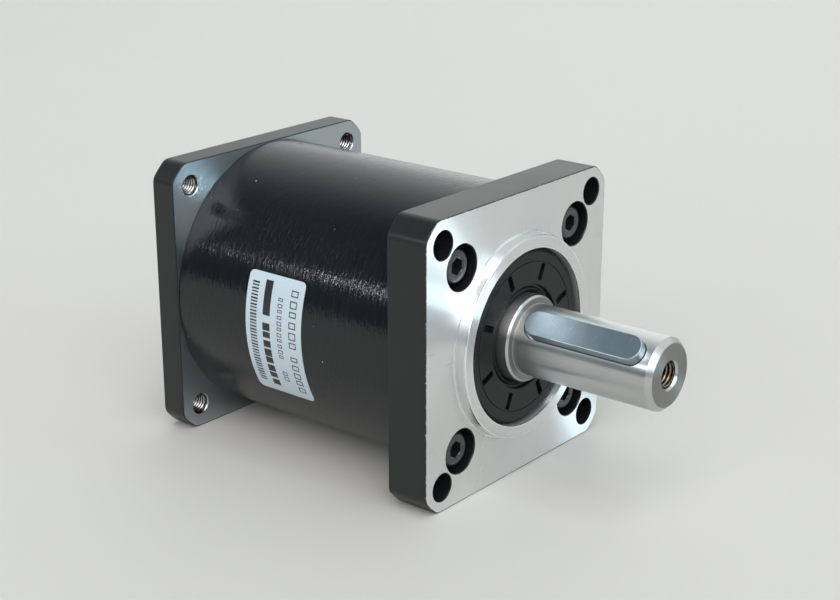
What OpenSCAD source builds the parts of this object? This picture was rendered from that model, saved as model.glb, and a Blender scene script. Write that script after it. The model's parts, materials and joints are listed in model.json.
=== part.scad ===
// Two-stage planetary gearbox, 100:1, with 57 mm square flanges.
// The origin is the centre of the front flange's mounting face, +X runs out along
// the output shaft and +Z is up. The gearbox lies on the flats of its two flanges.

/* [Housing] */
// Width across the flats of both square flanges
flange_w = 57; // [56.8:0.1:57.4]
// Radius of the turned circle that trims the flange corners
corner_r = 38; // [37.5:0.1:38.5]
// Thickness of the front flange
front_flange_t = 9; // [8:0.1:9.2]
// Thickness of the rear flange
rear_flange_t = 5.7; // [5.4:0.1:6.5]
// Outer diameter of the barrel
barrel_d = 56.4; // [56.2:0.1:56.8]
// Distance between neighbouring corner holes of both flanges
hole_pitch = 47.14; // [47:0.01:47.3]
// Diameter of the through holes in the front flange
mount_hole_d = 5.5; // [5:0.1:5.6]
// Core diameter of the tapped M4 holes in the rear flange
tapped_hole_d = 3.3; // [3.2:0.1:3.4]
// Diameter of the circle that the barrel screws stand on
screw_circle_d = 51.15; // [51:0.01:51.3]
// Diameter of the locating boss on the front face
boss_d = 40; // [39.5:0.05:40.4]
// Height of the locating boss
boss_h = 2.4; // [2:0.1:3]
// Diameter of the motor's locating recess in the rear face
recess_d = 38.15; // [38.1:0.01:38.3]
// Depth of the motor's locating recess
recess_depth = 2; // [1.8:0.1:2.4]

/* [Output shaft] */
// Diameter of the shaft's keyed end
shaft_d = 14; // [13.5:0.1:14.2]
// Distance of the shaft's end from the mounting face
shaft_reach = 33.5; // [32:0.1:36]
// Diameter of the shaft in the bearings and the seal
journal_d = 17; // [17:17]
// Distance of the journal's front face from the mounting face
journal_reach = 3.4; // [3:0.1:4]
// Width and height of the parallel key
key_w = 5; // [4.8:0.1:5]
// Length of the parallel key
key_length = 25; // [20:0.5:25]
// Distance of the key's inner end from the mounting face
key_start = 6; // [5.5:0.1:6]
// Turn of the key about the shaft, from straight up towards -Y
key_angle = 46; // [0:1:90]
// Core diameter of the tapped M5 hole in the shaft's end
centre_hole_d = 4.2; // [4:0.1:4.4]

/* [Gears] */
// Module of all the gears
gear_module = 0.4; // [0.4:0.4]
// Teeth of each sun gear
sun_teeth = 12; // [12:12]
// Teeth of each planet gear
planet_teeth = 48; // [48:48]
// Profile shift of the suns, taken off the planets and the ring
profile_shift = 0.3; // [0.28:0.01:0.32]
// Amount that each tooth flank stands back, for running clearance
flank_relief = 0.035; // [0.03:0.005:0.04]

/* [Motor side] */
// Diameter of the motor shaft that the input hub takes
motor_shaft_d = 8; // [6:0.1:8]
// Outer diameter of the clamp collar
collar_d = 26; // [25:0.5:28]

/* [Hidden] */
$fn = 96;
eps = 0.01;

// Faces of the housing along the shaft
barrel_front_x = -front_flange_t;
barrel_rear_x = -64.5;
rear_x = barrel_rear_x - rear_flange_t;
screw_offset = screw_circle_d / 2 / sqrt(2);

// M4 screws that hold both flanges on the barrel
counterbore_r = 4.4;
counterbore_depth = 5;
screw_clearance_r = 2.25;
screw_thread_r = 2;
shank_r = 1.95;
countersink_r = 4.2;
countersink_depth = 2.4;

// Seal and bearings on the output side, each named by its inner and outer ends
seal_front_x = 1.5;
seal_rear_x = -5.5;
front_bearing_x = -17;
front_bearing_w = 10;
rear_bearing_x = -25;
rear_bearing_w = 7;
bore_r = 17.5;
rear_bore_r = 15;
shoulder_r = 13.6;
neck_r = 22.2;
neck_rear_x = -25.8;

// Ball bearings: bore radius, outside radius, pitch radius, ball radius, balls
bearing_6003 = [8.5, 17.5, 13, 2.38, 10];
bearing_6903 = [8.5, 15, 11.75, 1.5875, 12];
bearing_6802 = [7.5, 12, 9.75, 1.19, 14];
ball_play = 0.06;

// Gear stages
ring_teeth = sun_teeth + 2 * planet_teeth;
centre_distance = gear_module * (sun_teeth + planet_teeth) / 2;
pressure_angle = 20;
teeth_front_x = -29.2;
teeth_rear_x = -47.3;
planets = 3;

// Stage 2, on the output shaft
disc_2_front_x = -26.1;
disc_2_rear_x = -29.6;
disc_2_r = 19;
washer_t = 0.3;
gear_2_front_x = disc_2_rear_x - washer_t - 0.05;
gear_2_rear_x = -38.6;
pin_2_r = 2.5;
needle_r = 0.75;
needle_ring_r = 3.28;
needles = 13;
gear_2_bore_r = 4.05;

// Stage 1, on the floating carrier
disc_1_front_x = -39;
disc_1_rear_x = -41.4;
disc_1_r = 17.5;
gear_1_front_x = disc_1_rear_x - washer_t - 0.05;
gear_1_rear_x = -46.95;
pin_1_r = 2;
bush_r = 3;

// Input side
wear_plate_t = 0.6;
plate_front_x = teeth_rear_x - wear_plate_t;
plate_rear_x = -55;
plate_r = 22.35;
plate_bore_r = 10.3;
motor_opening_r = 15;
rear_cavity_r = 22.4;
input_bearing_x = -54;
input_bearing_w = 5;
hub_rear_x = -66.5;
hub_r = 7;
hub_bore_bottom_x = -48.8;
collar_front_x = -56.5;
collar_rear_x = -65.5;
clamp_x = -60.6;
clamp_offset = 9.7;
plug_r = 3.2;
plug_base_y = 22.4;
plug_face_r = 28.05;

// Rating label, wrapped round the barrel
label_front_x = -30.8;
label_rear_x = -45.5;
label_start = 67.6;
label_turn = 52.4;
label_t = 0.1;

// Solid turned about the shaft axis from [radius, x] points
module turned(points) {
    rotate([0, 90, 0])
        rotate_extrude()
            polygon(points);
}

// Plain round bar along X from one face to another
module bar(x_from, x_to, r) {
    translate([min(x_from, x_to), 0, 0])
        rotate([0, 90, 0])
            cylinder(r = r, h = abs(x_to - x_from));
}

// Plain tube along X
module tube(x_from, x_to, r_out, r_in) {
    difference() {
        bar(x_from, x_to, r_out);
        bar(min(x_from, x_to) - 1, max(x_from, x_to) + 1, r_in);
    }
}

// Copies at the four corners of a square pattern
module at_corners(offset) {
    for (y = [-offset, offset])
        for (z = [-offset, offset])
            translate([0, y, z])
                children();
}

// One copy at a planet's place
module at_planet(index) {
    rotate([index * 360 / planets, 0, 0])
        translate([0, 0, centre_distance])
            children();
}

// Copies at every planet's place
module at_planets() {
    for (index = [0:planets - 1])
        at_planet(index)
            children();
}

// Involute function, in degrees
function involute(angle) = tan(angle) * 180 / PI - angle;

// Half angle of a tooth at radius r, in degrees
function half_tooth(teeth, thickness, r) =
    let (pitch_r = teeth * gear_module / 2)
    let (base_r = pitch_r * cos(pressure_angle))
    let (at_r = r > base_r ? involute(acos(base_r / r)) : 0)
    thickness / 2 / pitch_r * 180 / PI + involute(pressure_angle) - at_r;

// Outline of a gear: each tooth climbs the listed radii and comes down again
function gear_outline(teeth, thickness, radii) = [
    for (tooth = [0:teeth - 1])
        for (side = [-1, 1])
            for (step = [0:len(radii) - 1])
                let (r = side < 0 ? radii[step] : radii[len(radii) - 1 - step])
                let (angle = tooth * 360 / teeth + side * half_tooth(teeth, thickness, r))
                [r * cos(angle), r * sin(angle)]
];

// Tooth thickness on the pitch circle, and the amount the relief takes off
function thickness_at_pitch(shift) = gear_module * (PI / 2 + 2 * shift * tan(pressure_angle));
relief = 2 * flank_relief / cos(pressure_angle);
sun_pitch_r = sun_teeth * gear_module / 2;
planet_pitch_r = planet_teeth * gear_module / 2;
ring_pitch_r = ring_teeth * gear_module / 2;
sun_root_r = sun_pitch_r - gear_module * (1.25 - profile_shift);
sun_tip_r = sun_pitch_r + gear_module * 1.12;
sun_radii = [
    sun_root_r,
    sun_pitch_r * cos(pressure_angle),
    sun_pitch_r,
    sun_pitch_r + gear_module * 0.4,
    sun_pitch_r + gear_module * 0.8,
    sun_tip_r
];
planet_root_r = planet_pitch_r - gear_module * (1.25 + profile_shift);
planet_tip_r = planet_pitch_r + gear_module * (1 - profile_shift);
planet_radii = [planet_root_r, planet_pitch_r - gear_module * 0.4, planet_tip_r];
ring_tip_r = ring_pitch_r - gear_module * 1.2;
ring_root_r = ring_pitch_r + gear_module;
ring_radii = [ring_tip_r, ring_pitch_r - gear_module * 0.2, ring_root_r];

// Toothed wheel between two faces, turned by a fraction of its tooth pitch
module gear(x_from, x_to, teeth, thickness, radii, pitch_turn) {
    translate([min(x_from, x_to), 0, 0])
        rotate([0, 90, 0])
            rotate([0, 0, 180 + pitch_turn * 360 / teeth])
                linear_extrude(abs(x_to - x_from))
                    polygon(gear_outline(teeth, thickness, radii));
}

module sun_teeth_bar(x_from, x_to) {
    gear(x_from, x_to, sun_teeth, thickness_at_pitch(profile_shift) - relief, sun_radii, 0);
}

module planet_blank(x_from, x_to) {
    gear(x_from, x_to, planet_teeth, thickness_at_pitch(-profile_shift) - relief, planet_radii, 0.5);
}

module ring_cut(x_from, x_to) {
    gear(x_from, x_to, ring_teeth, thickness_at_pitch(-profile_shift) + relief, ring_radii, 0.5);
}

// Square flange plate with its corners turned down to a circle
module flange_plate(x_from, x_to) {
    intersection() {
        translate([min(x_from, x_to), -flange_w / 2, -flange_w / 2])
            cube([abs(x_to - x_from), flange_w, flange_w]);
        bar(x_from, x_to, corner_r);
    }
}

// Rings, balls and cage of a ball bearing whose rear face is at x
module race(x, width, r_from, r_to, kind) {
    difference() {
        tube(x, x + width, r_to, r_from);
        translate([x + width / 2, 0, 0])
            rotate([0, 90, 0])
                rotate_extrude()
                    translate([kind[2], 0])
                        circle(r = kind[3] + ball_play, $fn = 48);
    }
}

module outer_race(x, width, kind) {
    race(x, width, kind[2] + kind[3] * 0.72, kind[1], kind);
}

module inner_race(x, width, kind) {
    race(x, width, kind[0], kind[2] - kind[3] * 0.72, kind);
}

module ball_set(x, width, kind) {
    for (index = [0:kind[4] - 1])
        rotate([index * 360 / kind[4], 0, 0])
            translate([x + width / 2, 0, kind[2]])
                sphere(r = kind[3], $fn = 48);
}

module ball_cage(x, width, kind) {
    cage_half = kind[3] * 1.25;
    difference() {
        tube(x + width / 2 - cage_half, x + width / 2 + cage_half, kind[2] + kind[3] * 0.3, kind[2] - kind[3] * 0.3);
        for (index = [0:kind[4] - 1])
            rotate([index * 360 / kind[4], 0, 0])
                translate([x + width / 2, 0, kind[2] - kind[3]])
                    cylinder(r = kind[3] + ball_play, h = kind[3] * 2);
    }
}

// Spring ring with an opening and two eyes at its ends
module circlip(x, thickness, r_in, r_out, eye_side) {
    eye_ring_r = eye_side > 0 ? r_out : r_in;
    eye_angle = 115 / eye_ring_r;
    translate([x, 0, 0])
        rotate([0, 90, 0])
            linear_extrude(thickness)
                difference() {
                    union() {
                        circle(r = r_out);
                        for (side = [-1, 1])
                            rotate([0, 0, side * eye_angle])
                                translate([eye_ring_r, 0])
                                    circle(r = 1.3, $fn = 32);
                    }
                    difference() {
                        circle(r = r_in);
                        for (side = [-1, 1])
                            rotate([0, 0, side * eye_angle])
                                translate([eye_ring_r, 0])
                                    circle(r = 1.3, $fn = 32);
                    }
                    translate([0, -0.5])
                        square([r_out + 3, 1]);
                    for (side = [-1, 1])
                        rotate([0, 0, side * eye_angle])
                            translate([eye_ring_r, 0])
                                circle(r = 0.5, $fn = 32);
                }
}

// Housing: the square front flange, its boss and the neck that holds the bearings
module front_flange() {
    color("silver")
        difference() {
            union() {
                flange_plate(0, barrel_front_x);
                bar(0, boss_h, boss_d / 2);
                bar(barrel_front_x, neck_rear_x, neck_r);
            }
            bar(boss_h + 1, front_bearing_x, bore_r);
            bar(front_bearing_x + eps, rear_bearing_x + rear_bearing_w - eps, shoulder_r);
            bar(rear_bearing_x + rear_bearing_w, neck_rear_x - 1, rear_bore_r);
            bar(seal_rear_x, front_bearing_x + front_bearing_w, bore_r + 1);
            tube(-10.6, -12.4, neck_r + 1, neck_r - 1.2);
            at_corners(hole_pitch / 2)
                bar(1, barrel_front_x - 1, mount_hole_d / 2);
            at_corners(screw_offset) {
                bar(1, -counterbore_depth, counterbore_r);
                bar(0, barrel_front_x - 1, screw_clearance_r);
            }
        }
}

// M4 cap screw with its head's top at x
module cap_screw(x) {
    difference() {
        union() {
            turned([[0, x], [3.2, x], [3.5, x - 0.3], [3.5, x - 4], [0, x - 4]]);
            bar(x - 4 + eps, x - 17, shank_r);
        }
        translate([x - 2.1, 0, 0])
            rotate([0, 90, 0])
                cylinder(r = 3 / 2 / cos(30), h = 3, $fn = 6);
    }
}

module flange_screws() {
    color("dimgray")
        at_corners(screw_offset)
            cap_screw(-1);
}

// Steel barrel with the ring gear cut in its middle
module ring_gear_barrel() {
    barrel_r = barrel_d / 2;
    color("#222226")
        difference() {
            turned([
                [20, barrel_rear_x], [barrel_r - 0.4, barrel_rear_x], [barrel_r, barrel_rear_x + 0.4],
                [barrel_r, barrel_front_x - 0.5], [barrel_r - 0.5, barrel_front_x], [20, barrel_front_x]
            ]);
            bar(barrel_front_x + 1, teeth_front_x, neck_r);
            ring_cut(teeth_front_x + 1, teeth_rear_x - 1);
            bar(teeth_rear_x, barrel_rear_x - 1, rear_cavity_r);
            bar(plate_rear_x, plate_rear_x - 1.6, 23.1);
            at_corners(screw_offset) {
                bar(barrel_front_x + 1, -22, screw_thread_r);
                bar(barrel_rear_x - 1, -53, screw_thread_r);
            }
            translate([clamp_x, 0, clamp_offset])
                rotate([-90, 0, 0])
                    cylinder(r = plug_r, h = barrel_r + 2);
        }
}

// Square rear flange with the motor's recess and tapped corner holes
module rear_flange() {
    color("#2b2b2e")
        difference() {
            union() {
                flange_plate(barrel_rear_x, rear_x);
                bar(barrel_rear_x - eps, barrel_rear_x + 1.5, plate_r);
            }
            bar(rear_x - 1, rear_x + recess_depth, recess_d / 2);
            bar(rear_x - 1, barrel_rear_x + 2, motor_opening_r);
            at_corners(hole_pitch / 2) {
                bar(rear_x - 1, barrel_rear_x + 1, tapped_hole_d / 2);
                turned([
                    [0, barrel_rear_x + eps], [tapped_hole_d / 2 + 0.55, barrel_rear_x + eps],
                    [tapped_hole_d / 2, barrel_rear_x - 0.55], [0, barrel_rear_x - 0.55]
                ]);
            }
            at_corners(screw_offset) {
                bar(rear_x - 1, barrel_rear_x + 2, screw_clearance_r);
                turned([
                    [0, rear_x - eps], [countersink_r, rear_x - eps],
                    [screw_clearance_r - 0.05, rear_x + countersink_depth], [0, rear_x + countersink_depth]
                ]);
            }
        }
}

// M4 countersunk screws that hold the rear flange on the barrel
module rear_screws() {
    color("dimgray")
        at_corners(screw_offset)
            difference() {
                union() {
                    turned([[0, rear_x + 0.2], [3.8, rear_x + 0.2], [shank_r, rear_x + 2.35], [0, rear_x + 2.35]]);
                    bar(rear_x + 2.3, rear_x + 16, shank_r);
                }
                translate([rear_x - 1, 0, 0])
                    rotate([0, 90, 0])
                        cylinder(r = 2.5 / 2 / cos(30), h = 2.8, $fn = 6);
            }
}

// Rubber lip seal with eight shallow radial slots in its face
module shaft_seal() {
    lip_r = journal_d / 2 + 0.05;
    color("#2a2c30")
        difference() {
            turned([
                [bore_r, seal_rear_x], [bore_r, 0.5], [16.5, seal_front_x], [14.6, seal_front_x],
                [14.6, 1.3], [14.4, 1.3], [14.4, seal_front_x], [10.4, seal_front_x], [10.1, 0.7],
                [9.7, 0.7], [9.3, 1.2], [lip_r, 0.4], [lip_r, 0], [9.5, -0.6], [9.5, -1.6],
                [lip_r, -2.6], [lip_r, -2.9], [9.4, -4.2], [10.1, -3.6], [11.2, -3.4],
                [12, -4.4], [12.4, -1.2], [15.6, -1.2], [15.6, seal_rear_x]
            ]);
            for (slot = [0:7])
                rotate([slot * 45 + 22.5, 0, 0])
                    translate([0.6, -0.6, 11.3])
                        cube([2, 1.2, 3.2]);
        }
}

// Garter spring that presses the seal's lip on the shaft
module seal_spring() {
    color("gray")
        translate([-4.15, 0, 0])
            rotate([0, 90, 0])
                rotate_extrude()
                    translate([10.9, 0])
                        circle(r = 0.5, $fn = 32);
}

module front_o_ring() {
    color("#202020")
        translate([-11.5, 0, 0])
            rotate([0, 90, 0])
                rotate_extrude()
                    translate([neck_r - 0.6, 0])
                        circle(r = 0.58, $fn = 32);
}

// Internal circlip in front of the front bearing
module bearing_circlip() {
    color("dimgray")
        circlip(front_bearing_x + front_bearing_w, 1.45, bore_r - 2.2, bore_r + 0.9, -1);
}

module front_bearing_outer() {
    color("gainsboro")
        outer_race(front_bearing_x, front_bearing_w, bearing_6003);
}

module rear_bearing_outer() {
    color("gainsboro")
        outer_race(rear_bearing_x, rear_bearing_w, bearing_6903);
}

module input_bearing_outer() {
    color("gainsboro")
        outer_race(input_bearing_x, input_bearing_w, bearing_6802);
}

// Plate inside the barrel that carries the input bearing
module input_bearing_plate() {
    color("silver")
        difference() {
            tube(plate_rear_x, plate_front_x, plate_r, plate_bore_r);
            bar(plate_rear_x - 1, input_bearing_x + input_bearing_w, bearing_6802[1]);
        }
}

module plate_circlip() {
    color("dimgray")
        circlip(plate_rear_x - 1.5, 1.45, 19.8, 23, -1);
}

module wear_plate() {
    color("lightslategray")
        tube(plate_front_x, teeth_rear_x, plate_r - 0.05, plate_bore_r);
}

// Rubber plug in the clamp screw's access hole, its outer end following the barrel
module access_plug() {
    color("#1c1c1e")
        intersection() {
            translate([clamp_x, plug_base_y, clamp_offset])
                rotate([-90, 0, 0])
                    cylinder(r = plug_r, h = plug_face_r - plug_base_y);
            bar(clamp_x - 5, clamp_x + 5, plug_face_r);
        }
}

// Thin curved label on the barrel
module rating_label() {
    color("aliceblue")
        rotate([label_start, 0, 0])
            translate([label_rear_x, 0, 0])
                rotate([0, 90, 0])
                    rotate([0, 0, 180])
                        rotate_extrude(angle = label_turn)
                            translate([barrel_d / 2, 0])
                                square([label_t, label_front_x - label_rear_x]);
}

// Stadium-shaped bar standing on the shaft axis at the key's angle
module key_block(x_from, x_to, width, r_from, r_to) {
    rotate([key_angle, 0, 0])
        translate([0, 0, r_from])
            linear_extrude(r_to - r_from)
                union() {
                    translate([x_from + width / 2, -width / 2])
                        square([x_to - x_from - width, width]);
                    translate([x_from + width / 2, 0])
                        circle(d = width);
                    translate([x_to - width / 2, 0])
                        circle(d = width);
                }
}

// Output shaft in one piece with the disc that carries the stage 2 planets
module output_shaft() {
    shaft_r = shaft_d / 2;
    journal_r = journal_d / 2;
    color("silver")
        difference() {
            turned([
                [0, disc_2_rear_x], [disc_2_r, disc_2_rear_x], [disc_2_r, disc_2_front_x],
                [10, disc_2_front_x], [10, rear_bearing_x], [journal_r, rear_bearing_x],
                [journal_r, -7], [journal_r - 0.4, -7], [journal_r - 0.4, -5.95], [journal_r, -5.95],
                [journal_r, journal_reach - 0.4], [journal_r - 0.5, journal_reach],
                [shaft_r, journal_reach], [shaft_r, shaft_reach - 1], [shaft_r - 1, shaft_reach],
                [0, shaft_reach]
            ]);
            key_block(key_start - 1, key_start + key_length + 0.02, key_w + 0.02, shaft_r - 3.01, shaft_r + 2);
            bar(shaft_reach + 1, shaft_reach - 12.5, centre_hole_d / 2);
            turned([
                [0, shaft_reach + 1], [3.7, shaft_reach + 1], [2.7, shaft_reach],
                [2.1, shaft_reach - 0.6], [0, shaft_reach - 0.6]
            ]);
            at_planets()
                bar(disc_2_rear_x - 1, disc_2_front_x + 1, pin_2_r);
        }
}

module shaft_key() {
    color("slategray")
        key_block(key_start, key_start + key_length, key_w, shaft_d / 2 - 3, shaft_d / 2 - 3 + key_w);
}

module shaft_circlip() {
    color("dimgray")
        circlip(-7, 1, journal_d / 2 - 0.4, 10.4, 1);
}

// Sleeve between the inner rings of the two output bearings
module bearing_spacer() {
    color("lightgray")
        tube(rear_bearing_x + rear_bearing_w, front_bearing_x, 10.2, journal_d / 2);
}

module front_bearing_inner() {
    color("gainsboro")
        inner_race(front_bearing_x, front_bearing_w, bearing_6003);
}

module rear_bearing_inner() {
    color("gainsboro")
        inner_race(rear_bearing_x, rear_bearing_w, bearing_6903);
}

module planet_pins_2() {
    color("lightgray")
        at_planets()
            bar(disc_2_front_x - 0.2, gear_2_rear_x - 0.1, pin_2_r);
}

module planet_washers_2() {
    color("peru")
        at_planets()
            tube(disc_2_rear_x - washer_t, disc_2_rear_x, 5.5, pin_2_r + 0.05);
}

module front_bearing_balls() {
    color("whitesmoke")
        ball_set(front_bearing_x, front_bearing_w, bearing_6003);
}

module front_bearing_cage() {
    color("goldenrod")
        ball_cage(front_bearing_x, front_bearing_w, bearing_6003);
}

module rear_bearing_balls() {
    color("whitesmoke")
        ball_set(rear_bearing_x, rear_bearing_w, bearing_6903);
}

module rear_bearing_cage() {
    color("goldenrod")
        ball_cage(rear_bearing_x, rear_bearing_w, bearing_6903);
}

// Stage 2 planet gear and its needle rollers, at one of the three places
module planet_gear_2(index) {
    color("darkgray")
        at_planet(index)
            difference() {
                planet_blank(gear_2_front_x, gear_2_rear_x);
                bar(gear_2_front_x + 1, gear_2_rear_x - 1, gear_2_bore_r);
            }
}

module planet_needles_2(index) {
    color("whitesmoke")
        at_planet(index)
            for (needle = [0:needles - 1])
                rotate([needle * 360 / needles, 0, 0])
                    translate([0, 0, needle_ring_r])
                        bar(gear_2_front_x - 0.2, gear_2_rear_x + 0.2, needle_r);
}

// Disc of the floating carrier, with holes for its sun gear and its pins
module carrier_plate_1() {
    color("darkgray")
        difference() {
            tube(disc_1_front_x, disc_1_rear_x, disc_1_r, sun_root_r);
            at_planets()
                bar(disc_1_front_x + 1, disc_1_rear_x - 1, pin_1_r);
        }
}

module sun_gear_2() {
    color("gray")
        union() {
            sun_teeth_bar(disc_2_rear_x - 0.5, disc_1_front_x + 0.1);
            bar(disc_1_front_x + 0.2, disc_1_rear_x + 0.1, sun_root_r);
        }
}

module planet_pins_1() {
    color("lightgray")
        at_planets()
            bar(disc_1_front_x - 0.1, gear_1_rear_x - 0.05, pin_1_r);
}

module planet_washers_1() {
    color("peru")
        at_planets()
            tube(disc_1_rear_x - washer_t, disc_1_rear_x, 4.5, pin_1_r + 0.05);
}

// Stage 1 planet gear and its bronze bush, at one of the three places
module planet_gear_1(index) {
    color("darkgray")
        at_planet(index)
            difference() {
                planet_blank(gear_1_front_x, gear_1_rear_x);
                bar(gear_1_front_x + 1, gear_1_rear_x - 1, bush_r);
            }
}

module planet_bush_1(index) {
    color("peru")
        at_planet(index)
            tube(gear_1_front_x, gear_1_rear_x, bush_r, pin_1_r + 0.03);
}

// Input hub: motor shaft bore at the back, stage 1 sun gear at the front
module input_hub() {
    color("gray")
        difference() {
            union() {
                turned([
                    [0, hub_rear_x], [hub_r, hub_rear_x], [hub_r, collar_front_x + 0.3], [7.5, collar_front_x + 0.3],
                    [7.5, input_bearing_x - 1.05], [7.1, input_bearing_x - 1.05], [7.1, input_bearing_x],
                    [7.5, input_bearing_x], [7.5, input_bearing_x + input_bearing_w],
                    [8.6, input_bearing_x + input_bearing_w], [8.6, plate_front_x + 0.3], [0, plate_front_x + 0.3]
                ]);
                sun_teeth_bar(plate_front_x + 0.2, gear_1_front_x);
            }
            bar(hub_rear_x - 1, hub_bore_bottom_x, motor_shaft_d / 2);
            for (turn = [0, 90])
                rotate([turn, 0, 0])
                    translate([hub_rear_x - 1, -0.5, -hub_r - 1])
                        cube([collar_front_x - hub_rear_x - 0.5, 1, 2 * hub_r + 2]);
        }
}

// Split collar that the clamp screw closes on the hub
module clamp_collar() {
    color("dimgray")
        difference() {
            tube(collar_rear_x, collar_front_x, collar_d / 2, hub_r);
            translate([collar_rear_x - 1, -0.7, 0])
                cube([collar_front_x - collar_rear_x + 2, 1.4, collar_d]);
            translate([clamp_x, 0, clamp_offset])
                rotate([-90, 0, 0])
                    cylinder(r = 2, h = 60, center = true);
            translate([clamp_x, 4, clamp_offset])
                rotate([-90, 0, 0])
                    cylinder(r = 3.6, h = 20);
        }
}

module clamp_screw() {
    color("#202024")
        translate([clamp_x, 0, clamp_offset])
            rotate([-90, 0, 0])
                difference() {
                    union() {
                        translate([0, 0, 4])
                            cylinder(r = 3.5, h = 4);
                        translate([0, 0, -8])
                            cylinder(r = shank_r, h = 12 + eps);
                    }
                    translate([0, 0, 6])
                        cylinder(r = 3 / 2 / cos(30), h = 3, $fn = 6);
                }
}

module hub_circlip() {
    color("dimgray")
        circlip(input_bearing_x - 1, 1, 7.1, 9, 1);
}

module input_bearing_inner() {
    color("gainsboro")
        inner_race(input_bearing_x, input_bearing_w, bearing_6802);
}

module input_bearing_balls() {
    color("whitesmoke")
        ball_set(input_bearing_x, input_bearing_w, bearing_6802);
}

module input_bearing_cage() {
    color("goldenrod")
        ball_cage(input_bearing_x, input_bearing_w, bearing_6802);
}

front_flange();
flange_screws();
ring_gear_barrel();
rear_flange();
rear_screws();
shaft_seal();
seal_spring();
front_o_ring();
bearing_circlip();
front_bearing_outer();
rear_bearing_outer();
input_bearing_outer();
input_bearing_plate();
plate_circlip();
wear_plate();
access_plug();
rating_label();
output_shaft();
shaft_key();
shaft_circlip();
bearing_spacer();
front_bearing_inner();
rear_bearing_inner();
planet_pins_2();
planet_washers_2();
front_bearing_balls();
front_bearing_cage();
rear_bearing_balls();
rear_bearing_cage();
planet_gear_2(0);  // planet_gear_2a
planet_gear_2(1);  // planet_gear_2b
planet_gear_2(2);  // planet_gear_2c
planet_needles_2(0);  // planet_needles_2a
planet_needles_2(1);  // planet_needles_2b
planet_needles_2(2);  // planet_needles_2c
carrier_plate_1();
sun_gear_2();
planet_pins_1();
planet_washers_1();
planet_gear_1(0);  // planet_gear_1a
planet_gear_1(1);  // planet_gear_1b
planet_gear_1(2);  // planet_gear_1c
planet_bush_1(0);  // planet_bush_1a
planet_bush_1(1);  // planet_bush_1b
planet_bush_1(2);  // planet_bush_1c
input_hub();
clamp_collar();
clamp_screw();
hub_circlip();
input_bearing_inner();
input_bearing_balls();
input_bearing_cage();
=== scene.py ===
"""Looks of a planetary gearbox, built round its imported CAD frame.

Lengths in this script are millimetres until a mesh is made, which turns them into metres.
The row frame has +X along the output shaft, +Z up and its origin on the mounting face.
"""
import json
import math

import bmesh
import bpy
from mathutils import Matrix, Vector


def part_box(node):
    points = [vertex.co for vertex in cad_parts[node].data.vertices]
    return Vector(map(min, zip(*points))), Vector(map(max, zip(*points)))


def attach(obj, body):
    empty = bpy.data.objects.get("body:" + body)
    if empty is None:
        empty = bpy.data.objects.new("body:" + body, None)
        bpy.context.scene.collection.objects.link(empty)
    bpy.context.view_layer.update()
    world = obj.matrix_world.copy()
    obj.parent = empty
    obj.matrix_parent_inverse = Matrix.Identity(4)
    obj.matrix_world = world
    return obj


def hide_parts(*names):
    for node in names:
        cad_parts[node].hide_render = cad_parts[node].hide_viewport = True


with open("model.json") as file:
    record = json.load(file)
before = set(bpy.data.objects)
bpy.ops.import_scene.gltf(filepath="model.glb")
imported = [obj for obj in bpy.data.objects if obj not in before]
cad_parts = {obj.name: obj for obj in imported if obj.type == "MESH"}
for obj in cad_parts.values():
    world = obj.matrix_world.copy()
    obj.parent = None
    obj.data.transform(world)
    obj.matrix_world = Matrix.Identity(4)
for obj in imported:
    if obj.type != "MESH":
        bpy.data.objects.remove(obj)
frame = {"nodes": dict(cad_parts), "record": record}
MM = 0.001
TAU = 2 * math.pi


def add_object(name, data):
    """Puts a new object with this data into the scene."""
    made = bpy.data.objects.new(name, data)
    bpy.context.scene.collection.objects.link(made)
    return made


def box_mm(node):
    """A CAD node's lowest and highest corner, in millimetres."""
    low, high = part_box(node)
    return low / MM, high / MM


def mount_dims(name):
    """The stated dimensions of one of the record's mounts."""
    return next(mount["dims"] for mount in frame["record"]["mounts"] if mount["name"] == name)


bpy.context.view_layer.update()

# Housing, read from the CAD nodes
BARREL_LOW, BARREL_HIGH = box_mm("ring_gear_barrel")
BARREL_REAR = BARREL_LOW.x
BARREL_FRONT = BARREL_HIGH.x
BARREL_R = BARREL_HIGH.y
FLANGE_HALF = box_mm("front_flange")[1].y
BOSS_TOP = box_mm("front_flange")[1].x
NECK_REAR = box_mm("front_flange")[0].x
REAR_FACE = box_mm("rear_flange")[0].x
FLOOR_Z = box_mm("front_flange")[0].z
CORNER_R = 38.0
BOSS_R = mount_dims("pilot_boss")["r_mm"]
HOLE_OFFSET = mount_dims("front_bolts")["spacing_x_mm"] / 2
HOLE_R = mount_dims("front_bolts")["hole_r_mm"]
REAR_CORE_R = mount_dims("rear_bolts")["hole_r_mm"]
SHAFT_CORE_R = mount_dims("shaft_end_thread")["r_mm"]
RECESS_R = mount_dims("motor_pilot")["r_mm"]
RECESS_DEPTH = mount_dims("motor_pilot")["length_mm"]
SCREW_CIRCLE = 51.15
SCREW_OFFSET = SCREW_CIRCLE / 2 / math.sqrt(2)
SCREW_HOLE_R = 2.25
COUNTERBORE_R = 4.4
COUNTERBORE_DEPTH = 5.0
COUNTERSINK_R = 4.2
COUNTERSINK_DEPTH = 2.4
M4_R = 2.0
M4_PITCH = 0.7
M5_R = 2.5
M5_PITCH = 0.8
CORNER_BLEND = 3.2
NECK_R = 22.2
REAR_BORE_R = 15.0
SHOULDER_R = 13.6
SHOULDER_FRONT = -17.0
SHOULDER_REAR = -18.0
RING_BORE_R = 22.0
RING_FRONT = -29.2
RING_REAR = -47.3
MOTOR_BORE_R = 22.4
EDGE = 0.22
SMOOTH_STEPS = 160
SCREW_STEPS = 48

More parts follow.
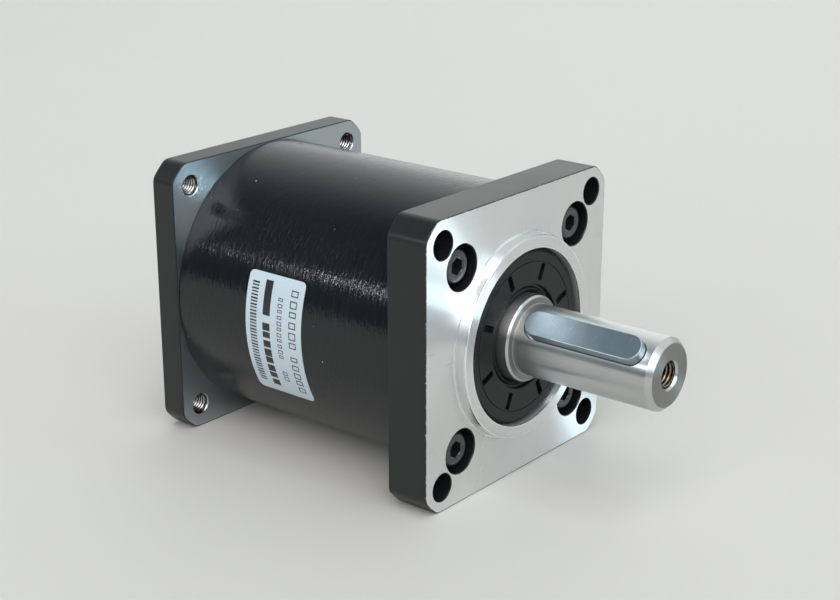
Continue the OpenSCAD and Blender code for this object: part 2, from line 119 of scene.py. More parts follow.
# Seal, shaft and key
SEAL_LOW, SEAL_HIGH = box_mm("shaft_seal")
SEAL_R = SEAL_HIGH.y
SHAFT_LOW, SHAFT_HIGH = box_mm("output_shaft")
SHAFT_END = SHAFT_HIGH.x
SHAFT_R = 7.0
JOURNAL_R = 8.5
JOURNAL_FACE = 3.4
KEY_W = 5.0
KEY_LENGTH = 25.0
KEY_START = 6.0
KEY_ANGLE = math.radians(46)
KEY_SEAT = SHAFT_R - 3.0
DISC_FRONT = -26.1
STEP_R = 10.0
BEARING_REAR = -25.0
CIRCLIP_REAR = -7.0
CIRCLIP_FRONT = -5.95
THREAD_DEPTH = 11.5

# Input hub, clamped on the motor's shaft
HUB_R = 7.0
HUB_SEAT_R = 7.5
HUB_BORE_R = 4.0
HUB_BORE_END = -48.8
SUN_R = 2.1
CLAMP_SLOT = 1.0

# Label
LABEL_LOW, LABEL_HIGH = box_mm("rating_label")
LABEL_START = math.radians(67.6)
LABEL_TURN = math.radians(52.4)

# Rows of plain printed marks: across the label from and to, round it from and to, marks,
# share inked and the line width of hollow marks (0 where they are solid)
LABEL_ROWS = [
    (0.78, 0.90, 0.08, 0.56, 6, 0.66, 0.22),
    (0.78, 0.90, 0.60, 0.95, 5, 0.66, 0.22),
    (0.57, 0.65, 0.16, 0.66, 11, 0.60, 0.16),
    (0.57, 0.65, 0.76, 0.86, 2, 0.70, 0.16),
    (0.31, 0.44, 0.05, 0.34, 1, 1.00, 0.0),
    (0.31, 0.44, 0.38, 0.94, 8, 0.80, 0.0),
    (0.08, 0.20, 0.08, 0.92, 34, 0.50, 0.0),
]
LABEL_THICK = 0.07
LABEL_CORNER = 1.1
INK_LIFT = 0.072
INK_THICK = 0.012

# Darker and lighter tone of each metal
BRIGHT_ALUMINIUM = ((0.74, 0.75, 0.75), (0.82, 0.825, 0.815))
# The rear flange's face: the front's aluminium made darker and bluer, as painted shade and a painted blue
# reflection
SHADED_BLUE_ALUMINIUM = ((0.37, 0.42, 0.45), (0.47, 0.52, 0.55))
# Lighter aluminium on the boss's broken edges: painted highlight lines
EDGE_HIGHLIGHT_ALUMINIUM = ((0.80, 0.81, 0.82), (0.88, 0.89, 0.90))
SHAFT_TONES = ((0.48, 0.49, 0.49), (0.55, 0.555, 0.545))
GEAR_TONES = ((0.34, 0.34, 0.35), (0.46, 0.46, 0.46))
BEARING_TONES = ((0.58, 0.59, 0.60), (0.68, 0.68, 0.68))
SPRING_TONES = ((0.08, 0.08, 0.09), (0.16, 0.16, 0.17))
COLLAR_TONES = ((0.06, 0.06, 0.065), (0.11, 0.11, 0.115))
BRONZE_TONES = ((0.50, 0.32, 0.13), (0.62, 0.44, 0.20))

# Light: tints, then small windows by direction, the angles in degrees at which each is full
# and gone, tint and strength
BLUE_SKY = (0.60, 0.85, 1.0)
WHITE_WALL = (1.0, 1.0, 0.97)
WARM_WALL = (1.0, 0.98, 0.96)
WINDOWS = [
    ((0.94, 0.27, 0.20), 2, 6, (0.62, 0.88, 1.0), 32.0),
    ((0.99, 0.06, 0.02), 6, 16, (0.30, 0.70, 1.0), 3.0),
    ((0.25, 0.05, 0.95), 4, 7, (0.85, 0.95, 1.0), 14.0),
]

# Camera: its direction from the origin, and its place to the right, up and back from there
CAMERA_AZIMUTH = math.radians(39.114)
CAMERA_ELEVATION = math.radians(19.062)
CAMERA_PLACE = (-19.004, 6.708, 319.33)
CAMERA_LENS = 71.28


# ---------------------------------------------------------------- mesh building

def ring(x, r, y=0.0, z=0.0, steps=96):
    """Points of a circle about the X direction."""
    return [
        (x, y - r * math.sin(TAU * i / steps), z + r * math.cos(TAU * i / steps))
        for i in range(steps)
    ]


class Shape:
    """A closed mesh put together from loops of points, in millimetres."""

    def __init__(self):
        self.mesh = bmesh.new()
        self.slot = 0

    def loop(self, points):
        return [self.mesh.verts.new(point) for point in points]

    def face(self, verts):
        made = self.mesh.faces.new(verts)
        made.material_index = self.slot
        return made

    def bridge(self, first, second):
        """A band of quads between two loops with the same number of points."""
        count = len(first)
        for i in range(count):
            j = (i + 1) % count
            self.face([first[i], first[j], second[j], second[i]])

    def fill(self, *loops):
        """The flat region inside the first loop and outside the others."""
        edges = []
        for loop in loops:
            for i, vert in enumerate(loop):
                pair = (vert, loop[(i + 1) % len(loop)])
                edges.append(self.mesh.edges.get(pair) or self.mesh.edges.new(pair))
        made = bmesh.ops.triangle_fill(self.mesh, use_beauty=True, use_dissolve=False, edges=edges)
        for item in made["geom"]:
            if isinstance(item, bmesh.types.BMFace):
                item.material_index = self.slot

    def cap(self, loop):
        """A round end: triangles from the loop to its middle."""
        middle = sum((vert.co for vert in loop), Vector()) / len(loop)
        centre = self.mesh.verts.new(middle)
        for i, vert in enumerate(loop):
            self.face([vert, loop[(i + 1) % len(loop)], centre])

    def prism(self, first, second):
        """A closed block between two outlines with the same number of points."""
        ends = [self.loop(first), self.loop(second)]
        self.bridge(*ends)
        self.fill(ends[0])
        self.fill(ends[1])

    def chain(self, loops, closed=False):
        """Bridges each loop to the next one."""
        for first, second in zip(loops, loops[1:] + loops[:1] if closed else loops[1:]):
            self.bridge(first, second)

    def turned(self, profile, steps=128, y=0.0, z=0.0):
        """A solid of revolution from (radius, x) points. A radius of 0 ends it with a cap."""
        loops = [self.loop(ring(x, r, y, z, steps)) for r, x in profile if r > 0]
        open_ends = profile[0][0] == 0
        self.chain(loops, closed=not open_ends)
        if open_ends:
            self.cap(loops[0])
            self.cap(loops[-1])

    def finish(self, name, materials, sharp=32):
        """Turns the shape into an object, in metres, smooth except across sharp edges."""
        bmesh.ops.remove_doubles(self.mesh, verts=self.mesh.verts, dist=1e-5)
        bmesh.ops.recalc_face_normals(self.mesh, faces=self.mesh.faces)
        data = bpy.data.meshes.new(name)
        self.mesh.to_mesh(data)
        self.mesh.free()
        data.transform(Matrix.Scale(MM, 4))
        for material in materials:
            data.materials.append(material)
        keep_flats_flat(data, math.radians(sharp))
        return add_object(name, data)


def flat_areas(data):
    """For each face, the whole area of the flat region that it belongs to."""
    links = {}
    for face in data.polygons:
        for key in face.edge_keys:
            links.setdefault(key, []).append(face.index)
    group = list(range(len(data.polygons)))

    def top(index):
        while group[index] != index:
            group[index] = group[group[index]]
            index = group[index]
        return index

    normals = [face.normal.copy() for face in data.polygons]
    for pair in links.values():
        if len(pair) == 2 and normals[pair[0]].dot(normals[pair[1]]) > 0.99999:
            group[top(pair[0])] = top(pair[1])
    areas = {}
    for face in data.polygons:
        areas[top(face.index)] = areas.get(top(face.index), 0.0) + face.area
    return normals, [areas[top(face.index)] for face in data.polygons]


def keep_flats_flat(data, sharp):
    """Smooth shading in which the larger flat region sets the normal where two meet."""
    data.shade_smooth()
    data.update()
    normals, areas = flat_areas(data)
    around = [[] for _ in data.vertices]
    for face in data.polygons:
        for vert in face.vertices:
            around[vert].append(face.index)
    limit = math.cos(sharp)
    corners = [Vector()] * len(data.loops)
    for face in data.polygons:
        own = normals[face.index]
        for loop_index in face.loop_indices:
            total = Vector()
            for other in around[data.loops[loop_index].vertex_index]:
                if normals[other].dot(own) > limit:
                    total += normals[other] * areas[other]
            corners[loop_index] = total.normalized() if total.length > 0 else own
    data.normals_split_custom_set(corners)


def rounded(profile, radius, steps=3):
    """A closed outline with each corner of more than 20 degrees rounded off."""
    points = [Vector(point) for point in profile]
    result = []
    for i, corner in enumerate(points):
        to_last = points[i - 1] - corner
        to_next = points[(i + 1) % len(points)] - corner
        turn = math.pi - to_last.angle(to_next)
        if turn < math.radians(20):
            result.append(tuple(corner))
            continue
        reach = min(radius * math.tan(turn / 2), to_last.length * 0.45, to_next.length * 0.45)
        start = corner + to_last.normalized() * reach
        end = corner + to_next.normalized() * reach
        for k in range(steps + 1):
            t = k / steps
            point = start * (1 - t) ** 2 + corner * 2 * t * (1 - t) + end * t ** 2
            result.append(tuple(point))
    return result


def cut(target, *cutters):
    """Takes each cutter object out of the target's mesh and removes the cutter."""
    for cutter in cutters:
        modifier = target.modifiers.new("cut", "BOOLEAN")
        modifier.operation = "DIFFERENCE"
        modifier.solver = "EXACT"
        modifier.object = cutter
        evaluated = target.evaluated_get(bpy.context.evaluated_depsgraph_get())
        data = bpy.data.meshes.new_from_object(evaluated)
        target.modifiers.remove(modifier)
        target.data = data
        bpy.data.objects.remove(cutter)
    keep_flats_flat(target.data, math.radians(32))
    return target


def true_round(target, radius):
    """Gives faces on a cylinder about X its exact normals, so that cut edges shade cleanly."""
    data = target.data
    data.update()
    normals = [Vector(corner.vector) for corner in data.corner_normals]
    for face in data.polygons:
        radii = [math.hypot(*data.vertices[v].co.yz) for v in face.vertices]
        on_wall = all(abs(r - radius * MM) < 2e-6 for r in radii)
        if not on_wall or abs(face.normal.x) > 0.1:
            continue
        for loop_index in face.loop_indices:
            place = data.vertices[data.loops[loop_index].vertex_index].co
            normals[loop_index] = Vector((0, place.y, place.z)).normalized()
    data.normals_split_custom_set(normals)


def place(made, body, slot, *nodes):
    """Lets a piece ride on its body in place of its CAD nodes."""
    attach(made, body)
    if nodes:
        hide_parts(*nodes)


def stadium(x_from, x_to, width, steps=14):
    """Outline of a slot with round ends, as (x, across) points."""
    half = width / 2
    points = []
    for centre, start in ((x_to - half, -math.pi / 2), (x_from + half, math.pi / 2)):
        for k in range(steps + 1):
            angle = start + math.pi * k / steps
            points.append((centre + half * math.cos(angle), half * math.sin(angle)))
    return points


def at_key(x, across, height):
    """A point over the shaft's axis in the direction of the key."""
    up = Vector((0, -math.sin(KEY_ANGLE), math.cos(KEY_ANGLE)))
    side = Vector((0, math.cos(KEY_ANGLE), math.sin(KEY_ANGLE)))
    return tuple(Vector((x, 0, 0)) + up * height + side * across)


def four_corners(offset):
    return [(y, z) for y in (-offset, offset) for z in (-offset, offset)]


# ---------------------------------------------------------------- materials

class Nodes:
    """Short ways to add nodes to a tree."""

    def __init__(self, tree):
        self.tree = tree

    def add(self, kind, settings=(), **inputs):
        node = self.tree.nodes.new(kind)
        for key, value in dict(settings).items():
            setattr(node, key, value)
        for key, value in inputs.items():
            self.feed(node.inputs[key.replace("_", " ")], value)
        return node

    def feed(self, socket, value):
        """Links a socket into an input, or sets the input's value."""
        if isinstance(value, bpy.types.NodeSocket):
            self.tree.links.new(value, socket)
        elif socket.type == "RGBA":
            socket.default_value = (*value, 1.0)
        else:
            socket.default_value = value

    def math(self, operation, first, second=0.0):
        node = self.add("ShaderNodeMath", {"operation": operation})
        self.feed(node.inputs[0], first)
        self.feed(node.inputs[1], second)
        return node.outputs[0]

    def times(self, first, second):
        return self.math("MULTIPLY", first, second)

    def plus(self, first, second):
        return self.math("ADD", first, second)

    def minus(self, first, second):
        return self.math("SUBTRACT", first, second)

    def either(self, first, second):
        return self.math("MAXIMUM", first, second)

    def size(self, value):
        return self.math("ABSOLUTE", value)

    def combine(self, x, y, z):
        return self.add("ShaderNodeCombineXYZ", X=x, Y=y, Z=z).outputs[0]

    def step(self, value, low, high):
        """0 at low, 1 at high and a smooth rise between, held beyond both."""
        node = self.add("ShaderNodeMapRange", {"interpolation_type": "SMOOTHSTEP"}, Value=value)
        self.feed(node.inputs["From Min"], low)
        self.feed(node.inputs["From Max"], high)
        return node.outputs["Result"]

    def spread(self, value, low, high):
        """Maps a 0 to 1 value onto low to high."""
        node = self.add("ShaderNodeMapRange", Value=value)
        self.feed(node.inputs["To Min"], low)
        self.feed(node.inputs["To Max"], high)
        return node.outputs["Result"]

    def mix(self, amount, first, second):
        """Blends two colours."""
        node = self.add("ShaderNodeMix", {"data_type": "RGBA"})
        colours = [socket for socket in node.inputs if socket.type == "RGBA"]
        self.feed(node.inputs[0], amount)
        self.feed(colours[0], first)
        self.feed(colours[1], second)
        return next(socket for socket in node.outputs if socket.type == "RGBA")


class Look(Nodes):
    """A node material that works in the object's millimetres."""

    def __init__(self, name, metallic=0.0):
        self.material = bpy.data.materials.new(name)
        self.material.use_nodes = True
        super().__init__(self.material.node_tree)
        self.shader = self.tree.nodes["Principled BSDF"]
        self.shader.inputs["Metallic"].default_value = metallic
        scale = self.add("ShaderNodeVectorMath", {"operation": "SCALE"}, Scale=1 / MM)
        self.feed(scale.inputs[0], self.add("ShaderNodeTexCoord").outputs["Object"])
        self.millimetres = scale.outputs[0]
        self.x, self.y, self.z = self.add("ShaderNodeSeparateXYZ", Vector=self.millimetres).outputs
        self.normal = None

    def noise(self, scale, detail=2.0, vector=None, rough=0.5):
        """A 0 to 1 noise whose scale is in waves per millimetre."""
        place = vector or self.millimetres
        node = self.add("ShaderNodeTexNoise", Vector=place, Scale=scale, Detail=detail, Roughness=rough)
        return node.outputs["Fac"]

    def drawn(self, first, second, seed, detail=3.0, rough=0.5):
        """Noise over two (coordinate, waves per unit) pairs, so that it can be drawn out one way."""
        return self.noise(1.0, detail, self.combine(self.times(*first), self.times(*second), seed), rough)

    def polar(self):
        """Radius and angle about the shaft's axis; the angle's seam is underneath."""
        square = self.plus(self.times(self.y, self.y), self.times(self.z, self.z))
        return self.math("SQRT", square), self.math("ARCTAN2", self.y, self.z)

    def bump(self, height, distance, strength=1.0):
        """Raises the surface by height times distance millimetres."""
        node = self.add("ShaderNodeBump", Height=height, Distance=distance * MM, Strength=strength)
        if self.normal:
            self.feed(node.inputs["Normal"], self.normal)
        self.normal = node.outputs["Normal"]

    def turned_grain(self, amount):
        """Shine drawn out across the circular tool marks."""
        self.shader.inputs["Anisotropic"].default_value = amount
        self.shader.inputs["Anisotropic Rotation"].default_value = 0.25
        tangent = self.add("ShaderNodeTangent", {"direction_type": "RADIAL", "axis": "X"})
        self.feed(self.shader.inputs["Tangent"], tangent.outputs[0])

    def coat(self, weight, roughness):
        self.shader.inputs["Coat Weight"].default_value = weight
        self.shader.inputs["Coat Roughness"].default_value = roughness

    def done(self, colour, roughness, metallic=None):
        self.feed(self.shader.inputs["Base Color"], colour)
        self.feed(self.shader.inputs["Roughness"], roughness)
        if metallic is not None:
            self.feed(self.shader.inputs["Metallic"], metallic)
        if self.normal:
            self.feed(self.shader.inputs["Normal"], self.normal)
        return self.material


def machined_face(name, tones, roughness, grain, scratched=0.0):
    """Faced aluminium: rings from the lathe, faint smears and fine marks across the rings."""
    look = Look(name, metallic=1.0)
    radius, angle = look.polar()
    rings = look.drawn((radius, 5.5), (angle, 1.2), 0.0)
    fine = look.drawn((radius, 14.0), (angle, 3.0), 4.0, 2.0)
    smear = look.noise(0.07, 4.0, rough=0.6)
    scratch = look.drawn((radius, 0.12), (angle, 45.0), 9.0)
    marks = look.times(look.step(scratch, 0.66, 0.72), scratched)
    shine = look.plus(look.spread(rings, roughness - 0.04, roughness + 0.04), look.times(marks, -0.10))
    look.bump(rings, 0.004, 0.5)
    look.bump(fine, 0.003, 0.4)
    look.bump(marks, 0.010, 0.6)
    look.turned_grain(grain)
    return look.done(look.mix(smear, *tones), shine)


def black_anodised(name, worn_x, wear):
    """Black anodised aluminium, knocked bare in places along its outer edges at the given x."""
    look = Look(name)
    cloud = look.noise(0.12, 5.0, rough=0.6)
    grain = look.noise(9.0, 2.0)
    nick = look.noise(1.6, 4.0, rough=0.75)
    radius, angle = look.polar()
    across = look.either(look.size(look.y), look.size(look.z))
    at_side = look.step(across, FLANGE_HALF - 0.6, FLANGE_HALF - 0.3)
    at_corner = look.step(radius, CORNER_R - 0.9, CORNER_R - 0.5)
    outside = look.either(at_side, at_corner)
    edge = 0.0
    for x in worn_x:
        edge = look.either(look.step(look.size(look.minus(look.x, x)), 0.30, 0.02), edge)
    worn = look.step(look.times(look.times(edge, outside), nick), 0.60 - wear, 0.66 - wear)
    dust = look.step(look.noise(3.2, 2.0), 0.74, 0.79)
    black = look.mix(cloud, (0.005, 0.006, 0.006), (0.010, 0.011, 0.011))
    look.shader.inputs["Specular IOR Level"].default_value = 0.42
    dusty = look.mix(look.times(dust, 0.2), black, (0.30, 0.29, 0.27))
    colour = look.mix(worn, dusty, (0.72, 0.73, 0.74))
    roughness = look.plus(look.spread(cloud, 0.30, 0.42), look.times(worn, -0.10))
    look.bump(grain, 0.005, 0.35)
    return look.done(colour, roughness, worn)


def barrel_black():
    """Black coated steel: fine turning marks under the coat, specks and faint smears."""
    look = Look("barrel_black")
    radius, angle = look.polar()
    turns = look.drawn((look.x, 1.8), (angle, 13.0), 1.0, 4.0, 0.6)
    scored = look.drawn((look.x, 2.6), (angle, 5.0), 6.0, 2.0)
    smear = look.noise(0.05, 5.0, rough=0.65)
    speck = look.step(look.noise(1.3, 1.0), 0.80, 0.83)
    black = look.mix(smear, (0.003, 0.003, 0.004), (0.007, 0.008, 0.009))
    colour = look.mix(look.times(speck, 0.6), black, (0.45, 0.45, 0.44))
    dull = look.step(scored, 0.40, 0.62)
    roughness = look.plus(look.spread(dull, 0.06, 0.20), look.times(speck, 0.3))
    look.shader.inputs["Specular IOR Level"].default_value = 0.42
    look.bump(turns, 0.08, 1.0)
    return look.done(colour, roughness)


def glossy_black():
    """The black lining of the front flange's holes, smoother than its sides."""
    look = Look("hole_black")
    cloud = look.noise(0.8, 3.0)
    look.bump(look.noise(4.0, 2.0), 0.010, 0.4)
    colour = look.mix(cloud, (0.004, 0.005, 0.006), (0.012, 0.013, 0.014))
    return look.done(colour, look.spread(cloud, 0.10, 0.20))


def turned_steel(name, tones, roughness, grain=0.6, faces=()):
    """Bright steel with fine circular marks about the shaft's axis, greyer on faces at the given x."""
    look = Look(name, metallic=1.0)
    radius, angle = look.polar()
    along = look.plus(look.x, look.times(radius, 1.3))
    marks = look.drawn((along, 7.0), (angle, 0.9), 2.0)
    scratch = look.step(look.drawn((look.x, 0.6), (angle, 30.0), 7.0), 0.68, 0.75)
    colour = look.mix(look.noise(0.15, 4.0, rough=0.6), *tones)
    shine = look.plus(look.spread(marks, roughness - 0.04, roughness + 0.05), look.times(scratch, 0.04))
    for x in faces:
        end = look.step(look.size(look.minus(look.x, x)), 0.09, 0.04)
        colour = look.mix(end, colour, (0.25, 0.26, 0.25))
        shine = look.plus(shine, look.times(end, 0.08))
    look.bump(marks, 0.003, 0.4)
    look.turned_grain(grain)
    return look.done(colour, shine)


def key_steel():
    """Drawn key steel, blue-grey with fine scratches each way."""
    look = Look("key_steel", metallic=1.0)
    along = look.combine(look.times(look.x, 0.35), look.times(look.y, 7.0), look.times(look.z, 7.0))
    lines = look.noise(1.0, 4.0, along)
    width = look.plus(look.times(look.y, math.cos(KEY_ANGLE)), look.times(look.z, math.sin(KEY_ANGLE)))
    scuff = look.step(look.noise(3.0, 3.0, rough=0.8), 0.62, 0.74)
    for number, degrees in enumerate((12, -28, 55, 84)):
        slope = math.radians(degrees)
        run = look.plus(look.times(look.x, math.cos(slope)), look.times(width, math.sin(slope)))
        rise = look.minus(look.times(width, math.cos(slope)), look.times(look.x, math.sin(slope)))
        streak = look.drawn((run, 0.35), (rise, 5.0), 3.7 * number, 1.0)
        scuff = look.either(scuff, look.step(streak, 0.73, 0.78))
    cloud = look.noise(0.5, 4.0, rough=0.6)
    colour = look.mix(cloud, (0.30, 0.38, 0.44), (0.40, 0.48, 0.54))
    scuffed = look.mix(look.times(scuff, 0.45), colour, (0.85, 0.87, 0.88))
    look.bump(lines, 0.006, 0.5)
    look.bump(scuff, 0.006, 0.5)
    return look.done(scuffed, look.plus(look.spread(lines, 0.28, 0.36), look.times(scuff, 0.08)))


def black_oxide():
    """Oily black oxide on a screw."""
    look = Look("black_oxide", metallic=0.5)
    mottle = look.noise(1.6, 4.0, rough=0.65)
    colour = look.mix(mottle, (0.008, 0.009, 0.010), (0.030, 0.032, 0.035))
    look.bump(mottle, 0.02, 0.4)
    look.coat(0.8, 0.10)
    return look.done(colour, look.spread(mottle, 0.22, 0.38))


def seal_rubber():
    """Moulded nitrile rubber with a satin skin and a little bloom."""
    look = Look("seal_rubber")
    bloom = look.step(look.noise(0.35, 5.0, rough=0.6), 0.35, 0.65)
    grain = look.noise(6.0, 3.0)
    colour = look.mix(bloom, (0.002, 0.0025, 0.003), (0.007, 0.008, 0.008))
    look.shader.inputs["Specular IOR Level"].default_value = 0.28
    look.bump(look.noise(0.9, 3.0), 0.02, 0.35)
    look.bump(grain, 0.010, 0.4)
    return look.done(colour, look.spread(bloom, 0.29, 0.44))


def label_film():
    """Printed polyester film with a soft gloss."""
    look = Look("label_film")
    tone = look.noise(0.25, 3.0)
    colour = look.mix(tone, (0.40, 0.48, 0.53), (0.44, 0.52, 0.57))
    look.bump(look.noise(0.8, 3.0), 0.01, 0.3)
    look.coat(0.3, 0.2)
    return look.done(colour, look.spread(tone, 0.30, 0.40))


def label_ink():
    """Thermal print: black with uneven density."""
    look = Look("label_ink")
    density = look.noise(4.0, 4.0, rough=0.7)
    colour = look.mix(look.step(density, 0.62, 0.75), (0.012, 0.012, 0.014), (0.16, 0.17, 0.19))
    return look.done(colour, look.spread(density, 0.30, 0.42))


def worn_metal(name, tones, roughness):
    """General bright metal with clouding and fine marks."""
    look = Look(name, metallic=1.0)
    cloud = look.noise(0.4, 5.0, rough=0.65)
    look.bump(look.noise(5.0, 3.0), 0.004, 0.4)
    return look.done(look.mix(cloud, *tones), look.spread(cloud, roughness - 0.05, roughness + 0.10))


def thread_metal(name, offset, core_r, thread_r, crest):
    """Cut thread: bright crests, with painted shade making the roots near black. The holes lie offset
    from the axis both ways.
    """
    look = Look(name, metallic=1.0)
    off_y = look.minus(look.size(look.y), offset)
    off_z = look.minus(look.size(look.z), offset)
    radius = look.math("SQRT", look.plus(look.times(off_y, off_y), look.times(off_z, off_z)))
    depth = thread_r - core_r
    root_shade = look.step(radius, core_r + 0.10 * depth, core_r + 0.65 * depth)
    stain = look.noise(1.2, 4.0, rough=0.6)
    look.bump(stain, 0.01, 0.4)
    # painted shade: near black towards the thread's roots
    colour = look.mix(root_shade, crest, (0.012, 0.011, 0.010))
    return look.done(colour, look.spread(stain, 0.20, 0.34))


def floor_finish():
    """Plain pale floor."""
    look = Look("pale_floor")
    tone = look.noise(0.004, 3.0)
    colour = look.mix(tone, (0.42, 0.41, 0.395), (0.44, 0.43, 0.415))
    look.bump(look.noise(0.3, 3.0), 0.02, 0.2)
    return look.done(colour, look.spread(tone, 0.55, 0.65))


# ---------------------------------------------------------------- pieces

def flange_outline(inset):
    """A square with its corners trimmed to a turned circle, as (y, z) points."""
    half = FLANGE_HALF - inset
    trim = CORNER_R - inset
    start = math.acos(half / trim)
    points = []
    for quarter in range(4):
        for k in range(3):
            angle = quarter * math.pi / 2 + start + (math.pi / 2 - 2 * start) * k / 2
            points.append((trim * math.cos(angle), trim * math.sin(angle)))
    return rounded(points, CORNER_BLEND - inset, 8)


def flange_edge(shape, x_front, x_rear):
    """The flange's sides with both edges broken. Returns the loops that bound its faces."""
    depths = [(EDGE, 0.0), (EDGE * 0.35, EDGE * 0.35), (0.0, EDGE)]
    loops = []
    for inset, depth in depths:
        loops.append(shape.loop([(x_front - depth, y, z) for y, z in flange_outline(inset)]))
    for inset, depth in reversed(depths):
        loops.append(shape.loop([(x_rear + depth, y, z) for y, z in flange_outline(inset)]))
    shape.chain(loops)
    return loops[0], loops[-1]


def corner_holes(shape, offset, profile):
    """One stepped hole, from (radius, x) points, in each corner. Returns their first and last loops."""
    first, last = [], []
    for y, z in four_corners(offset):
        loops = [shape.loop(ring(x, r, y, z, SCREW_STEPS)) for r, x in profile]
        shape.chain(loops)
        first.append(loops[0])
        last.append(loops[-1])
    return first, last


def thread_sleeve(name, material, y, z, x_from, x_to, core_r, thread_r, pitch):
    """A ring with a helical thread inside it."""
    shape = Shape()
    steps, per_turn = 40, 6
    crest = [0.0, 0.25, 0.8, 1.0, 0.8, 0.25]
    outer_r = thread_r + 0.15
    rows = int((x_to - x_from) / pitch * per_turn) + 2 * per_turn
    grid = []
    for row in range(rows):
        line = []
        for i in range(steps):
            x = x_from + pitch * ((row - per_turn) / per_turn + i / steps)
            r = core_r + (thread_r - core_r) * crest[row % per_turn]
            if not x_from < x < x_to:
                x = min(max(x, x_from), x_to)
                r = outer_r
            angle = TAU * i / steps
            line.append((x, y - r * math.sin(angle), z + r * math.cos(angle)))
        grid.append(shape.loop(line))
    for row in range(rows - per_turn):
        for i in range(steps):
            next_row, next_i = (row, i + 1) if i + 1 < steps else (row + per_turn, 0)
            if next_row + 1 < rows:
                far = (grid[next_row][next_i], grid[next_row + 1][next_i])
                shape.face([grid[row][i], *far, grid[row + 1][i]])
    return shape.finish(name, [material], sharp=60)


def front_flange(face, side, lining, turned, bright):
    """Square front flange with counterbores, boss, neck and bearing seat."""
    shape = Shape()
    shape.slot = 1
    front_edge, rear_edge = flange_edge(shape, 0.0, BARREL_FRONT)
    shape.slot = 2
    bolts_front, bolts_rear = corner_holes(shape, HOLE_OFFSET, [
        (HOLE_R + 0.14, 0.0), (HOLE_R, -0.14), (HOLE_R, BARREL_FRONT + 0.14),
        (HOLE_R + 0.14, BARREL_FRONT)
    ])
    screws_front, screws_rear = corner_holes(shape, SCREW_OFFSET, [
        (COUNTERBORE_R + 0.16, 0.0), (COUNTERBORE_R, -0.16), (COUNTERBORE_R, -COUNTERBORE_DEPTH),
        (SCREW_HOLE_R + 0.05, -COUNTERBORE_DEPTH), (SCREW_HOLE_R, BARREL_FRONT)
    ])
    profile = [
        (BOSS_R + 0.55, 0.0), (BOSS_R + 0.40, -0.22), (BOSS_R + 0.05, -0.25), (BOSS_R, 0.05),
        (BOSS_R, BOSS_TOP - 0.35), (BOSS_R - 0.10, BOSS_TOP - 0.12), (BOSS_R - 0.35, BOSS_TOP),
        (SEAL_R + 0.22, BOSS_TOP), (SEAL_R + 0.05, BOSS_TOP - 0.06), (SEAL_R, BOSS_TOP - 0.22),
        (SEAL_R, SHOULDER_FRONT), (SHOULDER_R, SHOULDER_FRONT), (SHOULDER_R, SHOULDER_REAR),
        (REAR_BORE_R, SHOULDER_REAR), (REAR_BORE_R, NECK_REAR), (NECK_R - 0.3, NECK_REAR),
        (NECK_R, NECK_REAR + 0.3), (NECK_R, BARREL_FRONT)
    ]
    loops = [shape.loop(ring(x, r, steps=SMOOTH_STEPS)) for r, x in profile]
    for first, last, slot in ((0, 3, 4), (3, 4, 3), (4, 6, 4), (6, 7, 0), (7, 9, 4), (9, 17, 0)):
        shape.slot = slot
        shape.chain(loops[first:last + 1])
    shape.fill(front_edge, loops[0], *bolts_front, *screws_front)
    shape.fill(rear_edge, loops[-1], *bolts_rear, *screws_rear)
    made = shape.finish("front_flange_body", [face, side, lining, turned, bright])
    place(made, "housing", "flange_aluminium", "front_flange")


def rear_flange(face, side, thread, bare):
    """Square rear flange with threaded corner holes and the motor's recess."""
    shape = Shape()
    shape.slot = 1
    front_edge, rear_edge = flange_edge(shape, BARREL_REAR, REAR_FACE)
    shape.slot = 0
    bolts_front, bolts_rear = corner_holes(shape, HOLE_OFFSET, [
        (M4_R + 0.25, BARREL_REAR), (M4_R + 0.05, BARREL_REAR - 0.20),
        (M4_R + 0.05, REAR_FACE + 0.1), (REAR_CORE_R, REAR_FACE)
    ])
    screws_front, screws_rear = corner_holes(shape, SCREW_OFFSET, [
        (SCREW_HOLE_R, BARREL_REAR), (SCREW_HOLE_R, REAR_FACE + COUNTERSINK_DEPTH),
        (COUNTERSINK_R, REAR_FACE)
    ])
    floor = REAR_FACE + RECESS_DEPTH
    profile = [
        (RECESS_R + 0.3, REAR_FACE), (RECESS_R, REAR_FACE + 0.3), (RECESS_R, floor),
        (REAR_BORE_R + 0.3, floor), (REAR_BORE_R, floor + 0.3), (REAR_BORE_R, BARREL_REAR + 1.5),
        (NECK_R - 0.2, BARREL_REAR + 1.5), (NECK_R, BARREL_REAR + 1.3), (NECK_R, BARREL_REAR)
    ]
    loops = [shape.loop(ring(x, r, steps=SMOOTH_STEPS)) for r, x in profile]
    shape.fill(front_edge, loops[-1], *bolts_front, *screws_front)
    shape.slot = 2
    shape.chain(loops)
    shape.fill(rear_edge, loops[0], *bolts_rear, *screws_rear)
    made = shape.finish("rear_flange_body", [face, side, bare])
    place(made, "housing", "rear_flange_black", "rear_flange")
    for number, (y, z) in enumerate(four_corners(HOLE_OFFSET)):
        name = f"rear_thread_{number + 1}"
        ends = (REAR_FACE + 0.1, BARREL_REAR - 0.22)
        sleeve = thread_sleeve(name, thread, y, z, *ends, REAR_CORE_R, M4_R, M4_PITCH)
        place(sleeve, "housing", "rear_flange_black")


def side_circle(x, z, radius, steps=64):
    """Points (x, z) of a circle seen along Y."""
    turns = [TAU * i / steps for i in range(steps)]
    return [(x + radius * math.cos(turn), z + radius * math.sin(turn)) for turn in turns]


def plug_place():
    """Middle (x, z) and radius of the clamp screw's access hole, from its plug."""
    low, high = box_mm("access_plug")
    return (low.x + high.x) / 2, (low.z + high.z) / 2, (high.x - low.x) / 2


